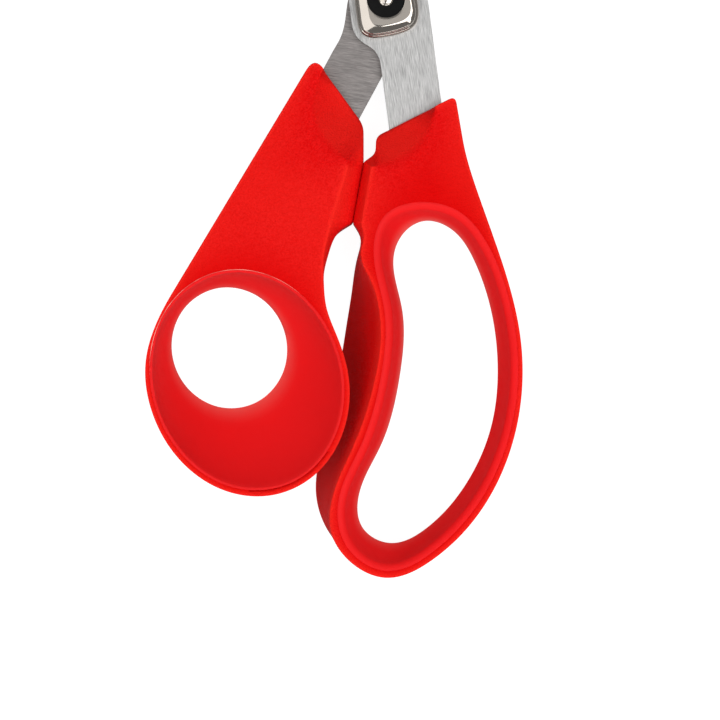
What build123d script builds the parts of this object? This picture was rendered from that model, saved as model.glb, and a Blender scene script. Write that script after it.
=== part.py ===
from build123d import *
from math import cos, hypot, radians, sin
import os

# Floral snips: two flat steel blades on one pivot bolt, each with a moulded plastic handle
# that is lined with soft gel.
# Frame: +Y runs along the closed blades to their tips, +X points to the finger handle and
# +Z comes out of the front. The origin is on the pivot axis, at the rear face of the bolt's head.
# All sizes are in millimetres.

# ---- driving dimensions ---------------------------------------------------------------------

# blades
blade_reach = 80.0         # pivot axis to the tips
blade_thick = 2.2
running_gap = 0.05         # between the two blades, and between the rear blade and its washer
edge_land = 0.3            # thickness left at a cutting edge
edge_bevel = 2.6           # width of the ground bevel
grind_overrun = 6.0        # how far the grinding wedge runs past both ends of an edge, and outside it
boss_half = 8.5            # half width of a blade at the pivot
tip_radius = 0.6

# tangs, the flat tails that the handles are moulded on
tang_width = 12.8
front_tang_x = 3.3         # centre line of the front tang, parallel to Y
front_tang_end = 44.6      # pivot axis to the end of the front tang
rear_tang_turn = 35.9      # degrees that the rear tang leans to -X, from -Y
rear_tang_offset = 1.1     # its centre line from the pivot axis, to +X
rear_tang_end = 54.0
tang_hole = 2.0            # radius of the hole that the plastic flows through
tang_hole_margin = 6.0     # its centre from the end of the tang

# pivot
head_radius = 6.2
head_thick = 2.0
head_chamfer = 0.6
washer_thick = 0.45
washer_radius = 5.6
shoulder_radius = 3.0      # turns in the rear blade
shoulder_clearance = 0.04
flats_across = 4.8         # double-D neck that keeps the bolt from turning in the front blade
thread_radius = 2.45
thread_clearance = 0.02
thread_rise = 0.4          # thread past the nut
thread_chamfer = 0.4
spring_washer_thick = 0.6
nut_across = 8.0
nut_thick = 3.0

# cover pressed on the nut
cover_height = 5.4
cover_half = 7.2
cover_low = 8.6            # pivot axis to the lower side
cover_left_drop = 0.93     # share of cover_low where the lower side meets the left one
cover_right_drop = 0.78
cover_corner = 3.0
cover_corner_loss = 0.5    # how much the corner's radius shrinks for each millimetre of inset
cover_bore_gap = 0.3       # between the thread's end and the cover
cover_bore_depth = 0.5
cover_tier = 2.9           # height of the lower tier
cover_step = 1.5           # how far the upper tier stands in
cover_chamfer = 0.9
disc_radius = 4.4
disc_thick = 0.4
disc_recess = 0.5          # depth of the disc's face under the cover's top
boss_radius = 1.8

# handles
handle_thick = 18.0
shoulder_drop = 3.9        # front face down to where the stop's bevel ends
stop_gap = 0.3             # between the two stop faces at rest
mouth_centre = (-6.0, -24.0)
mouth_lip = 6.5            # radius of the mouth scoop at its lip
mouth_rim = 14.2           # radius of the mouth scoop at the handle's face
mouth_cover = 1.5          # plastic left over a tang at the lip
thumb_lip_extra = 1.6      # more of it on the front of the thumb handle
scoop_overrun = 3.0        # how far the scoop runs on outside the handle
stop_bevel = 2.0           # width of the finger handle's bevel along its stop
thumb_neck_corner = 2.5
thumb_mouth_corner = 6.0
finger_neck_corner = 1.3
finger_mouth_corner = 2.5

# gel liners
gel_land = 0.7             # flat rim of the gel on the front face
thumb_waist_depth = 15.0   # front face to the narrowest place
thumb_mid_depth = 7.5      # front face to the section that gives the funnel its hollow
thumb_mid_share = 0.56     # how far that section lies from the rim towards the narrowest place
thumb_mid_growth = 0.9
finger_waist_depth = 7.0
waist_flare = 1.5          # how much wider the rear mouth of the opening is
shell_wall = 2.2           # hard wall outside the gel, at the rear face
finger_rear_gel = 1.2      # width of the finger liner's rear rim

# ---- levels ---------------------------------------------------------------------------------

z_washer = head_thick
z_rear_blade = z_washer + washer_thick + running_gap
z_shear = z_rear_blade + blade_thick
z_front_blade = z_shear + running_gap
z_deck = z_front_blade + blade_thick
z_nut = z_deck + spring_washer_thick
z_cover_top = z_deck + cover_height
z_front = z_shear + handle_thick / 2
z_rear = z_shear - handle_thick / 2
z_shoulder = z_front - shoulder_drop
z_thumb_waist = z_front - thumb_waist_depth
z_finger_waist = z_front - finger_waist_depth

# ---- small helpers --------------------------------------------------------------------------


def along(point, direction, distance):
    return (point[0] + direction[0] * distance, point[1] + direction[1] * distance)


def mix(points_a, points_b, share):
    """Points that lie the given share of the way from one list to the other."""
    return [
        (a[0] + (b[0] - a[0]) * share, a[1] + (b[1] - a[1]) * share)
        for a, b in zip(points_a, points_b)
    ]


def oval(centre, long_half, short_half, lean, turns):
    """Points of an ellipse. lean is the long axis's angle from -Y towards +X, in degrees."""
    long_dir = (sin(radians(lean)), -cos(radians(lean)))
    short_dir = (cos(radians(lean)), sin(radians(lean)))
    offsets = [(short_half * cos(radians(t)), long_half * sin(radians(t))) for t in turns]
    return [
        (
            centre[0] + across * short_dir[0] + down * long_dir[0],
            centre[1] + across * short_dir[1] + down * long_dir[1],
        )
        for across, down in offsets
    ]


def smooth(points, leave, arrive):
    """A spline through the points that starts and ends in the given directions."""
    ends = [Vector(*leave).normalized(), Vector(*arrive).normalized()]
    return Spline(points, tangents=ends, tangent_scalars=[1.0, 1.0])


def split(curve, count):
    """The curve's one edge, cut into equal lengths, so that no lofted face wraps round a loop."""
    edge = curve.edges()[0]
    return [edge.trim(i / count, (i + 1) / count) for i in range(count)]


def face_at(z, corners, curve, radii):
    """A flat face: straight sides through the corners, closed by one spline that runs on into
    the first side. The corners after the first are rounded, each with its own radius."""
    sides = [Line(a, b) for a, b in zip(corners, corners[1:])]
    leave = (curve[0][0] - corners[-1][0], curve[0][1] - corners[-1][1])
    arrive = (corners[1][0] - corners[0][0], corners[1][1] - corners[0][1])
    back = smooth([corners[-1]] + curve + [corners[0]], leave, arrive)
    face = make_face(sides + split(back, 3))
    for (x, y), radius in zip(corners[1:], radii):
        near = face.vertices().sort_by_distance((x, y, 0))[0]
        face = fillet(near, radius)
    return Pos(0, 0, z) * face


def ring_at(z, points):
    """A flat face inside one closed smooth curve."""
    return Pos(0, 0, z) * make_face(split(Spline(points, periodic=True), 4))


# ---- blades ---------------------------------------------------------------------------------

ricasso_y = 8.0            # where the cutting edge starts, from the pivot axis
ricasso_x = 6.2
tip_offset = 0.6           # how far a tip lies past the centre line, on its spine's side


def front_blade_outline():
    """Blade and tang seen from the front. Its edge is at +X and its spine at -X."""
    inner = front_tang_x - tang_width / 2
    outer = front_tang_x + tang_width / 2
    return [
        Line((inner, -front_tang_end), (outer, -front_tang_end)),
        Line((outer, -front_tang_end), (outer, -1.5)),
        ThreePointArc((outer, -1.5), (8.6, 3.8), (ricasso_x, ricasso_y)),
        Line((ricasso_x, ricasso_y), (-tip_offset + tip_radius, blade_reach - tip_radius)),
        ThreePointArc(
            (-tip_offset + tip_radius, blade_reach - tip_radius),
            (-tip_offset, blade_reach),
            (-tip_offset - tip_radius, blade_reach - tip_radius),
        ),
        smooth(
            [(-tip_offset - tip_radius, blade_reach - tip_radius), (-4.6, blade_reach * 0.66),
             (-7.2, blade_reach * 0.3), (-boss_half, 4.0)],
            (-0.24, -1.0), (0, -1.0),
        ),
        Line((-boss_half, 4.0), (-boss_half, -4.5)),
        smooth([(-boss_half, -4.5), (-6.7, -8.8), (-4.4, -10.8), (inner, -14.5)], (0, -1.0), (0, -1.0)),
        Line((inner, -14.5), (inner, -front_tang_end)),
    ]


def rear_tang_frame():
    """Direction of the rear tang and its sideways direction, both flat in XY."""
    t = radians(rear_tang_turn)
    return (-sin(t), -cos(t)), (cos(t), -sin(t))


def rear_tang_point(down, side):
    down_dir, side_dir = rear_tang_frame()
    return along(along((0, 0), down_dir, down), side_dir, side + rear_tang_offset)


def rear_blade_outline():
    """The rear blade seen from the front. Its edge is at -X and its spine at +X."""
    half = tang_width / 2
    neck_in = rear_tang_point(9.0, half)
    neck_out = rear_tang_point(16.0, -half)
    end_in = rear_tang_point(rear_tang_end, half)
    end_out = rear_tang_point(rear_tang_end, -half)
    down_dir = rear_tang_frame()[0]
    return [
        Line(end_out, end_in),
        Line(end_in, neck_in),
        smooth([neck_in, (6.6, -4.6), (boss_half, 2.0)], (-down_dir[0], -down_dir[1]), (0, 1.0)),
        smooth(
            [(boss_half, 2.0), (7.2, blade_reach * 0.3), (4.6, blade_reach * 0.66),
             (tip_offset + tip_radius, blade_reach - tip_radius)],
            (0, 1.0), (-0.24, 1.0),
        ),
        ThreePointArc(
            (tip_offset + tip_radius, blade_reach - tip_radius),
            (tip_offset, blade_reach),
            (tip_offset - tip_radius, blade_reach - tip_radius),
        ),
        Line((tip_offset - tip_radius, blade_reach - tip_radius), (-ricasso_x, ricasso_y)),
        smooth([(-ricasso_x, ricasso_y), (-8.9, 0.7), (-10.1, -3.7), (-11.8, -7.4), neck_out],
               (-0.3, -1.0), down_dir),
        Line(neck_out, end_out),
    ]


def edge_grind(side):
    """Wedge that grinds one cutting edge. side is +1 on the front blade and -1 on the rear one."""
    heel = Vector(side * ricasso_x, ricasso_y, 0)
    tip = Vector(side * (tip_radius - tip_offset), blade_reach - tip_radius, 0)
    run = (tip - heel).normalized()
    foot = heel - run * grind_overrun
    if side > 0:
        z_flat, z_skin = z_front_blade + edge_land, z_deck
    else:
        z_flat, z_skin = z_shear - edge_land, z_rear_blade
    rise = z_skin - z_flat
    plane = Plane(origin=(foot.X, foot.Y, z_flat), x_dir=(side, 0, 0), z_dir=run)
    up = 1 if plane.y_dir.Z > 0 else -1
    wedge = Polyline(
        [
            (grind_overrun, -up * rise / edge_bevel * grind_overrun),
            (-edge_bevel, up * rise),
            (-edge_bevel, up * rise * 2),
            (grind_overrun, up * rise * 2),
        ],
        close=True,
    )
    return extrude(plane * make_face(wedge), (tip - heel).length + 2 * grind_overrun)


def make_front_blade():
    body = extrude(Pos(0, 0, z_front_blade) * make_face(front_blade_outline()), blade_thick)
    body -= edge_grind(1)
    neck = Circle(shoulder_radius) & Rectangle(flats_across, 4 * shoulder_radius)
    body -= Pos(0, 0, z_front_blade) * extrude(neck, blade_thick)
    hole_y = tang_hole_margin - front_tang_end
    body -= Pos(front_tang_x, hole_y, z_front_blade) * extrude(Circle(tang_hole), blade_thick)
    return body


def make_rear_blade():
    body = extrude(Pos(0, 0, z_rear_blade) * make_face(rear_blade_outline()), blade_thick)
    body -= edge_grind(-1)
    body -= Pos(0, 0, z_rear_blade) * extrude(Circle(shoulder_radius + shoulder_clearance), blade_thick)
    hole = rear_tang_point(rear_tang_end - tang_hole_margin, 0)
    body -= Pos(hole[0], hole[1], z_rear_blade) * extrude(Circle(tang_hole), blade_thick)
    return body


# ---- pivot ----------------------------------------------------------------------------------


def make_bolt():
    head = extrude(Circle(head_radius), head_thick)
    head = chamfer(head.edges().group_by(Axis.Z)[0], head_chamfer)
    shoulder = extrude(Pos(0, 0, z_washer) * Circle(shoulder_radius), z_front_blade - z_washer)
    neck = Circle(shoulder_radius) & Rectangle(flats_across, 4 * shoulder_radius)
    neck = extrude(Pos(0, 0, z_front_blade) * neck, blade_thick)
    thread_top = z_nut + nut_thick + thread_rise
    thread = extrude(Pos(0, 0, z_deck) * Circle(thread_radius), thread_top - z_deck)
    thread = chamfer(thread.edges().group_by(Axis.Z)[-1], thread_chamfer)
    return head + shoulder + neck + thread


def make_thrust_washer():
    ring = Circle(washer_radius) - Circle(shoulder_radius + thread_clearance)
    return extrude(Pos(0, 0, z_washer) * ring, washer_thick)


def make_spring_washer():
    ring = Circle(nut_across / 2) - Circle(thread_radius + thread_clearance)
    return extrude(Pos(0, 0, z_deck) * ring, spring_washer_thick)


def make_nut():
    face = RegularPolygon(nut_across / 2, 6, major_radius=False) - Circle(thread_radius)
    return extrude(Pos(0, 0, z_nut) * face, nut_thick)


def cover_outline(inset):
    """Rounded shield: upright sides, with a lower side that bows out and drops towards -X."""
    half = cover_half - inset
    low = cover_low - inset
    left = low * cover_left_drop
    right = low * cover_right_drop
    sides = [
        Line((-half, left), (-half, -left)),
        ThreePointArc((-half, -left), (0, -low), (half, -right)),
        Line((half, -right), (half, right)),
        ThreePointArc((half, right), (0, low), (-half, left)),
    ]
    return fillet(make_face(sides).vertices(), cover_corner - inset * cover_corner_loss)


def make_cover():
    lower = extrude(Pos(0, 0, z_deck) * cover_outline(0), cover_tier)
    lower = chamfer(lower.edges().group_by(Axis.Z)[-1], cover_chamfer)
    upper = extrude(Pos(0, 0, z_deck + cover_tier) * cover_outline(cover_step), cover_height - cover_tier)
    upper = chamfer(upper.edges().group_by(Axis.Z)[-1], cover_chamfer)
    body = lower + upper
    recess = z_cover_top - disc_recess - disc_thick
    pocket = Circle(disc_radius) - Circle(boss_radius)
    body -= extrude(Pos(0, 0, recess) * pocket, disc_recess + disc_thick)
    hollow_top = z_nut + nut_thick
    grip = RegularPolygon(nut_across / 2, 6, major_radius=False)
    body -= extrude(Pos(0, 0, z_deck) * grip, hollow_top - z_deck)
    body -= extrude(Pos(0, 0, hollow_top) * Circle(thread_radius + cover_bore_gap), cover_bore_depth)
    return body


def make_disc():
    ring = Circle(disc_radius) - Circle(boss_radius)
    return extrude(Pos(0, 0, z_cover_top - disc_recess - disc_thick) * ring, disc_thick)


# ---- handles --------------------------------------------------------------------------------

# The two handles meet on a stop line. Each stop face stands half of stop_gap back from it.
stop_top = (-9.95, -36.5)
stop_foot = (-14.3, -50.0)
stop_side = (0.952, -0.307)


def stop_points(side):
    shift = side * stop_gap / 2
    return along(stop_top, stop_side, shift), along(stop_foot, stop_side, shift)


def mouth_scoop(z_skin, z_lip):
    """Cone that opens the handle's mouth from its lip out to the handle's face, and beyond."""
    slope = (mouth_rim - mouth_lip) / abs(z_skin - z_lip)
    up = 1 if z_skin > z_lip else -1
    depth = mouth_lip / slope
    height = abs(z_skin - z_lip) + depth + scoop_overrun
    apex = z_lip - up * depth
    cone = Cone(0.0, height * slope, height, align=(Align.CENTER, Align.CENTER, Align.MIN))
    if up < 0:
        cone = Rot(180, 0, 0) * cone
    return Pos(mouth_centre[0], mouth_centre[1], apex) * cone


# Thumb handle: corners from the left foot of the neck over its top to the foot of the stop.
thumb_oval = dict(centre=(-43.1, -83.4), long_half=26.9, short_half=23.1, lean=12.1)
thumb_rear_oval = dict(centre=(-46.0, -76.6), long_half=19.0, short_half=18.3, lean=12.1)
thumb_gel_oval = dict(centre=(-43.2, -83.0), long_half=25.8, short_half=22.0, lean=11.3)
thumb_gel_rear = dict(
    centre=(-46.2, -75.8),
    long_half=thumb_rear_oval["long_half"] - shell_wall,
    short_half=thumb_rear_oval["short_half"] - shell_wall,
    lean=11.3,
)
thumb_hole = dict(centre=(-46.6, -74.9), long_half=14.0, short_half=13.3, lean=11.3)
loop_turns = [15, 42, 70, 98, 126, 154, 182, 206]
ring_turns = [0, 40, 80, 120, 160, 200, 240, 280, 320]


def grown(oval_sizes, growth):
    sizes = dict(oval_sizes)
    sizes["long_half"] += growth
    sizes["short_half"] += growth
    return sizes


def thumb_sections():
    top, foot = stop_points(-1)
    front_corners = [(-57.0, -60.0), (-18.0, -11.0), (-8.7, -27.6), top, foot]
    rear_corners = [(-55.4, -60.4), (-18.6, -12.6), (-9.1, -28.0), top, foot]
    front_curve = [(-17.4, -51.5), (-20.7, -56.9), (-22.7, -63.0), (-22.8, -69.0), (-21.3, -75.6)]
    rear_curve = [(-18.2, -51.9), (-22.4, -57.3), (-25.6, -62.5), (-27.3, -67.6), (-27.9, -72.6)]
    front_curve += oval(turns=loop_turns, **thumb_oval)
    rear_curve += oval(turns=loop_turns, **thumb_rear_oval)
    share = shoulder_drop / handle_thick
    mid_corners = mix(front_corners, rear_corners, share)
    mid_curve = mix(front_curve, rear_curve, share)
    face_corners = front_corners[:2] + [(-9.3, -27.9), (-13.6, -37.0), (-19.0, -48.9)]
    face_curve = [(-20.4, -52.6), (-21.9, -57.0)] + front_curve[2:]
    sections = [
        (z_rear, rear_corners, rear_curve),
        (z_shoulder, mid_corners, mid_curve),
        (z_front, face_corners, face_curve),
    ]
    radii = [thumb_neck_corner, thumb_mouth_corner]
    return [face_at(z, corners, curve, radii) for z, corners, curve in sections]


def make_thumb_handle():
    body = loft(thumb_sections(), ruled=True)
    body -= make_thumb_core()
    body -= mouth_scoop(z_front, z_front_blade + mouth_cover + thumb_lip_extra)
    body -= mouth_scoop(z_rear, z_rear_blade - mouth_cover)
    body -= make_rear_blade()
    return body


def make_thumb_core():
    """The whole space inside the hard thumb loop, which the gel lines."""
    front = ring_at(z_front, oval(turns=ring_turns, **thumb_gel_oval))
    rear = ring_at(z_rear, oval(turns=ring_turns, **thumb_gel_rear))
    return loft([rear, front], ruled=True)


def make_thumb_grip():
    rim = oval(turns=ring_turns, **grown(thumb_gel_oval, -gel_land))
    waist = oval(turns=ring_turns, **thumb_hole)
    mid = oval(turns=ring_turns, **grown(thumb_hole, thumb_mid_growth))
    mid = mix(rim, mid, thumb_mid_share)
    rear = oval(turns=ring_turns, **grown(thumb_hole, waist_flare))
    sections = [
        ring_at(z_rear, rear),
        ring_at(z_thumb_waist, waist),
        ring_at(z_front - thumb_mid_depth, mid),
        ring_at(z_front, rim),
    ]
    return make_thumb_core() - loft(sections)


# Finger handle: the loop's stations run clockwise from the foot of the stop, down the left side.
finger_front = [
    (-12.9, -53.2), (-13.4, -57.2), (-11.8, -64.6), (-10.9, -71.5), (-11.6, -78.5), (-13.9, -86.5),
    (-20.8, -101.0), (-27.2, -112.2), (-28.6, -120.0), (-25.5, -127.1), (-17.5, -132.3), (-5.9, -129.4),
    (8.0, -117.8), (17.3, -100.8), (20.5, -82.0), (18.9, -65.5), (15.2, -47.5),
]
finger_rear = [
    (-13.0, -53.4), (-14.2, -57.6), (-16.7, -65.6), (-18.8, -72.6), (-20.7, -79.0), (-23.2, -86.8),
    (-28.1, -100.0), (-31.2, -111.4), (-30.1, -119.0), (-26.2, -125.6), (-18.0, -130.9), (-6.6, -128.2),
    (7.1, -117.0), (16.3, -100.4), (19.5, -82.0), (17.9, -65.5), (14.4, -47.5),
]
finger_gel_front = [
    (1.7, -47.6), (10.6, -51.2), (15.9, -59.5), (19.0, -72.1), (19.3, -86.0), (15.4, -102.5),
    (7.1, -116.7), (-5.0, -127.2), (-17.2, -130.7), (-25.4, -124.0), (-25.9, -113.0), (-19.4, -101.6),
    (-12.5, -86.0), (-9.8, -70.5), (-10.4, -57.0), (-6.6, -49.4),
]
finger_gel_rear = [
    (0.8, -49.8), (9.3, -52.6), (14.2, -60.5), (16.8, -72.1), (17.1, -86.0), (13.3, -101.7),
    (5.5, -115.1), (-6.2, -125.3), (-17.6, -128.5), (-26.4, -121.6), (-27.6, -112.0), (-23.6, -101.8),
    (-17.6, -87.0), (-14.2, -72.5), (-11.4, -59.0), (-7.6, -51.8),
]
finger_opening = [
    (2.7, -51.8), (9.0, -55.4), (12.4, -62.2), (14.8, -74.0), (14.7, -87.0), (11.2, -101.4),
    (3.2, -114.2), (-6.2, -122.2), (-15.6, -124.7), (-21.3, -120.3), (-21.2, -113.0), (-14.8, -102.4),
    (-8.0, -86.2), (-5.6, -70.9), (-5.7, -58.3), (-1.8, -53.1),
]


def shrunk(points, amount):
    """The same closed curve, with each point moved in across it by the given amount."""
    moved = []
    for i, (x, y) in enumerate(points):
        before = points[i - 1]
        after = points[(i + 1) % len(points)]
        run = (after[0] - before[0], after[1] - before[1])
        size = hypot(run[0], run[1])
        moved.append((x + run[1] / size * amount, y - run[0] / size * amount))
    return moved


def finger_sections():
    top, foot = stop_points(1)
    front_corners = [(13.3, -34.5), (12.9, -24.4), (-6.4, -30.9), (-7.1, -34.9), top, foot]
    rear_corners = [(12.9, -34.5), (12.5, -24.6), (-6.2, -31.0), (-6.9, -35.0), top, foot]
    share = shoulder_drop / handle_thick
    bevel = [along(point, stop_side, stop_bevel) for point in (top, foot)]
    face_corners = front_corners[:3] + [(-5.9, -35.6)] + bevel
    face_curve = [(-12.2, -53.4)] + finger_front[1:]
    sections = [
        (z_rear, rear_corners, finger_rear),
        (z_shoulder, mix(front_corners, rear_corners, share), mix(finger_front, finger_rear, share)),
        (z_front, face_corners, face_curve),
    ]
    radii = [finger_neck_corner, finger_mouth_corner, finger_mouth_corner]
    return [face_at(z, corners, curve, radii) for z, corners, curve in sections]


def make_finger_handle():
    body = loft(finger_sections(), ruled=True)
    body -= make_finger_core()
    body -= mouth_scoop(z_front, z_deck + mouth_cover)
    body -= mouth_scoop(z_rear, z_rear_blade - mouth_cover)
    body -= make_front_blade()
    return body


def make_finger_core():
    """The whole space inside the hard finger loop, which the gel lines."""
    return loft([ring_at(z_rear, finger_gel_rear), ring_at(z_front, finger_gel_front)], ruled=True)


def make_finger_grip():
    rim = shrunk(finger_gel_front, gel_land)
    rear = shrunk(finger_gel_rear, finger_rear_gel)
    opening = loft([ring_at(z_rear, rear), ring_at(z_finger_waist, finger_opening), ring_at(z_front, rim)])
    return make_finger_core() - opening


# ---- files ----------------------------------------------------------------------------------

nodes = {
    "front_blade": make_front_blade,
    "rear_blade": make_rear_blade,
    "finger_handle": make_finger_handle,
    "finger_grip": make_finger_grip,
    "thumb_handle": make_thumb_handle,
    "thumb_grip": make_thumb_grip,
    "pivot_bolt": make_bolt,
    "thrust_washer": make_thrust_washer,
    "spring_washer": make_spring_washer,
    "lock_nut": make_nut,
    "pivot_cover": make_cover,
    "cover_disc": make_disc,
}

os.makedirs("parts", exist_ok=True)
for name, make in nodes.items():
    export_step(make(), f"parts/{name}.step")
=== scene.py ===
from math import cos, pi, radians, sin

import bmesh
import bpy
import numpy as np
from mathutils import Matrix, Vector
from mathutils.kdtree import KDTree


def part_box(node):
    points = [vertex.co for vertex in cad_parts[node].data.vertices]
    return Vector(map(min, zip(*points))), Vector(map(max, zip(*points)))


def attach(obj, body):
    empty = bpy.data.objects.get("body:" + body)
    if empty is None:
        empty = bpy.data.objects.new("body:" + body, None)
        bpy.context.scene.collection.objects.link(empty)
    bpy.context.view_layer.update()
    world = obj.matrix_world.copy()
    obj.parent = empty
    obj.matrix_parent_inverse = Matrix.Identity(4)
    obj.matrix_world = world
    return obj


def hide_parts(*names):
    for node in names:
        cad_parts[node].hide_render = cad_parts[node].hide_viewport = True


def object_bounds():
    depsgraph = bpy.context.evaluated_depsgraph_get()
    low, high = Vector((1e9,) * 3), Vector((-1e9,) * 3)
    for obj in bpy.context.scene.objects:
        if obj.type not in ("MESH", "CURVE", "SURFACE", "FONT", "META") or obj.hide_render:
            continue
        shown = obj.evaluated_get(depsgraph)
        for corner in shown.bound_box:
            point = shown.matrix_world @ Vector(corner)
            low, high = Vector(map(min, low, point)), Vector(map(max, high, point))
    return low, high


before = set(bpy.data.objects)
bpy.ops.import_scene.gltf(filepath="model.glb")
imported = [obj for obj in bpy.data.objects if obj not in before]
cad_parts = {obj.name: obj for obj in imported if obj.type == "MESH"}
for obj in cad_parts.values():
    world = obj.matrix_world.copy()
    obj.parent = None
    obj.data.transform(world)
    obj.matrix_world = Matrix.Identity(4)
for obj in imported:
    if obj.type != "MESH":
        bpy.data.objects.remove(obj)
cad_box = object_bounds()

bl_info = {
    "name": "Floral Snips Finish",
    "version": (1, 0, 0),
    "blender": (4, 5, 0),
    "location": "3D View > Sidebar > Snips",
    "description": "Builds the handles, gel liners and pivot cover of a pair of floral snips",
    "category": "Object",
}

MM = 0.001

# ---- levels, read from the frame, in millimetres ----------------------------------------------


def level(node, corner):
    """Height in millimetres of a node's lowest (0) or highest (1) corner."""
    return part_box(node)[corner].z / MM


Z_REAR = level("thumb_handle", 0)
Z_FRONT = level("thumb_handle", 1)
Z_DECK = level("front_blade", 1)
Z_FRONT_BLADE = level("front_blade", 0)
Z_REAR_BLADE = level("rear_blade", 0)
Z_COVER_TOP = level("pivot_cover", 1)
Z_DISC_FLOOR = level("cover_disc", 0)
THICK = Z_FRONT - Z_REAR

# ---- drawing: the outlines of both handles and of the cover, in millimetres -------------------

SHOULDER_DROP = 3.9        # from the front face down to the edge where the bevel meets the wall
MOUTH_CENTRE = (-6.0, -24.0)
MOUTH_LIP = 6.5            # radius of the mouth's cone where it reaches the tang
MOUTH_RIM = 14.2           # radius of the mouth's cone at the handle's face
MOUTH_COVER = 1.5          # plastic left over the tang at the lip
SCOOP_BLEND = 1.5          # how far inside its rim the mouth counts fully as scooped
BACK_EDGE = 0.9            # how far down the slanted wall its rear rounding starts
# the line where the closed handles meet, its direction towards the finger side, and the gap
STOP_TOP = (-9.95, -36.5)
STOP_FOOT = (-14.3, -50.0)
STOP_SIDE = (0.952, -0.307)
STOP_GAP = 0.05
STOP_BEVELS = (1.9, 2.0)   # how far the finger handle's face stands back from its stop
SHELF_EDGE = 1.5           # flat margin round a face, as a multiple of its edge's rounding
SHELF_MOUTH = 2.2          # and of its crease's rounding, beside the mouth
SHELF_FREE = 0.55          # share of the way to meeting itself that the margin's ring may take
SHELF_ROOM = 0.45          # and of the distance to the gel
SHELF_EASE = 0.02          # how much wider than its neighbours' average a margin may stay
SHELF_PASSES = 3

THUMB_OVAL = dict(centre=(-43.1, -83.4), long_half=26.9, short_half=23.1, lean=12.1)
THUMB_REAR_OVAL = dict(centre=(-46.0, -76.6), long_half=19.0, short_half=18.3, lean=12.1)
THUMB_GEL_OVAL = dict(centre=(-43.2, -83.0), long_half=25.8, short_half=22.0, lean=11.3)
THUMB_GEL_REAR = dict(centre=(-46.2, -75.8), long_half=16.8, short_half=16.1, lean=11.3)
THUMB_HOLE = dict(centre=(-46.7, -75.0), long_half=14.2, short_half=13.4, lean=11.3)
THUMB_WAIST_DEPTH = 15.0   # from the front face down to the gel's narrowest ring
THUMB_LIP_EXTRA = 1.6      # more plastic over the thumb's tang, which lies lower
# stations round the thumb's outline and round its gel rings, in degrees
LOOP_TURNS = [15, 42, 70, 98, 126, 154, 182, 206]
RING_TURNS = [0, 40, 80, 120, 160, 200, 240, 280, 320]

THUMB_CORNERS = [(-57.0, -60.0), (-18.0, -11.0), (-8.7, -27.6)]
THUMB_REAR_CORNERS = [(-55.4, -60.4), (-18.6, -12.6), (-9.1, -28.0)]
THUMB_FACE_CORNERS = [(-57.0, -60.0), (-18.0, -11.0), (-9.3, -27.9), (-13.6, -37.0), (-19.0, -48.9)]
THUMB_CURVE = [(-17.4, -51.5), (-20.7, -56.9), (-22.7, -63.0), (-22.8, -69.0), (-21.3, -75.6)]
THUMB_REAR_CURVE = [(-18.2, -51.9), (-22.4, -57.3), (-25.6, -62.5), (-27.3, -67.6), (-27.9, -72.6)]
THUMB_FACE_START = [(-20.4, -52.6), (-21.9, -57.0)]
THUMB_RADII = [0, 2.5, 6.2, 1.0, 1.2]

FINGER_CORNERS = [(13.3, -34.5), (12.9, -24.4), (-6.4, -30.9), (-7.1, -34.9)]
FINGER_REAR_CORNERS = [(12.9, -34.5), (12.5, -24.6), (-6.2, -31.0), (-6.9, -35.0)]
FINGER_FACE_CORNERS = [(13.3, -34.5), (12.9, -24.4), (-5.6, -30.9), (-7.0, -35.6)]
FINGER_RADII = [0, 1.3, 2.6, 2.5, 1.0, 0.8]
FINGER_FRONT = [
    (-12.9, -53.2), (-13.4, -57.2), (-11.8, -64.6), (-10.9, -71.5), (-11.6, -78.5),
    (-13.9, -86.5), (-20.8, -101.0), (-27.2, -112.2), (-28.6, -120.0), (-25.5, -127.1),
    (-17.5, -132.3), (-5.9, -129.4), (8.0, -117.8), (17.3, -100.8), (20.5, -82.0), (18.9, -65.5),
    (15.2, -47.5),
]
FINGER_REAR = [
    (-13.0, -53.4), (-14.2, -57.6), (-16.7, -65.6), (-18.8, -72.6), (-20.7, -79.0),
    (-23.2, -86.8), (-28.1, -100.0), (-31.2, -111.4), (-30.1, -119.0), (-26.2, -125.6),
    (-18.0, -130.9), (-6.6, -128.2), (7.1, -117.0), (16.3, -100.4), (19.5, -82.0), (17.9, -65.5),
    (14.4, -47.5),
]
FINGER_FACE_START = (-12.2, -53.4)
FINGER_GEL_FRONT = [
    (1.7, -47.6), (10.6, -51.2), (15.9, -59.5), (19.0, -72.1), (19.3, -86.0), (15.4, -102.5),
    (7.1, -116.7), (-5.0, -127.2), (-17.2, -130.7), (-25.4, -124.0), (-25.9, -113.0),
    (-19.4, -101.6), (-12.5, -86.0), (-9.8, -70.5), (-10.4, -57.0), (-6.6, -49.4),
]
FINGER_GEL_REAR = [
    (0.8, -49.8), (9.3, -52.6), (14.2, -60.5), (16.8, -72.1), (17.1, -86.0), (13.3, -101.7),
    (5.5, -115.1), (-6.2, -125.3), (-17.6, -128.5), (-26.4, -121.6), (-27.6, -112.0),
    (-23.6, -101.8), (-17.6, -87.0), (-14.2, -72.5), (-11.4, -59.0), (-7.6, -51.8),
]
FINGER_OPENING = [
    (2.7, -51.8), (9.0, -55.4), (12.4, -62.2), (14.8, -74.0), (14.7, -87.0), (11.2, -101.4),
    (3.2, -114.2), (-6.2, -122.2), (-15.6, -124.7), (-21.3, -120.3), (-21.2, -113.0),
    (-14.8, -102.4), (-8.0, -86.2), (-5.6, -70.9), (-5.7, -58.3), (-1.8, -53.1),
]
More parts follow.
